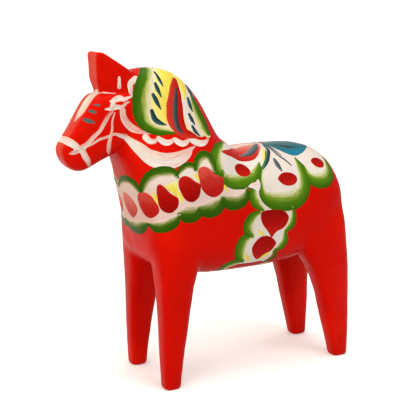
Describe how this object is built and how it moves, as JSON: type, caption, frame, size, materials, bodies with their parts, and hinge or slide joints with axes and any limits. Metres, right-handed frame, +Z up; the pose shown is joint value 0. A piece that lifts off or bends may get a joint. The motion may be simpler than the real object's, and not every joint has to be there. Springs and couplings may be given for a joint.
{
  "type": "painted wooden horse figurine",
  "caption": "Carved wooden horse standing on four tapered legs, arched neck, joined ears, red with brush-painted harness and flower ornament.",
  "frame": {"origin": "on the surface the horse stands on, under the centre of its bounding box", "axes": "+Z up; the horse looks along -X; its left side is -Y, its right side +Y"},
  "size_m": [0.231, 0.0764, 0.248],
  "materials": {
    "painted_wood": "pine, red ground colour under clear gloss varnish",
    "dowel_wood": "bare birch",
    "brushed_ornament": "brush strokes in white, green, yellow, red and blue oil paint under clear gloss varnish"
  },
  "bodies": {
    "root": {"head_and_neck_board": "painted_wood", "back_board": "painted_wood", "left_shoulder_and_foreleg_board": "painted_wood", "left_flank_board": "painted_wood", "left_haunch_and_hind_leg_board": "painted_wood", "right_shoulder_and_foreleg_board": "painted_wood", "right_flank_board": "painted_wood", "right_haunch_and_hind_leg_board": "painted_wood", "dowel_neck": "dowel_wood", "dowel_shoulder": "dowel_wood", "dowel_flank_front": "dowel_wood", "dowel_flank_rear": "dowel_wood", "dowel_haunch_upper": "dowel_wood", "dowel_haunch_lower": "dowel_wood", "dowel_trunk_upper": "dowel_wood", "dowel_trunk_lower": "dowel_wood"}
  },
  "joints": []
}
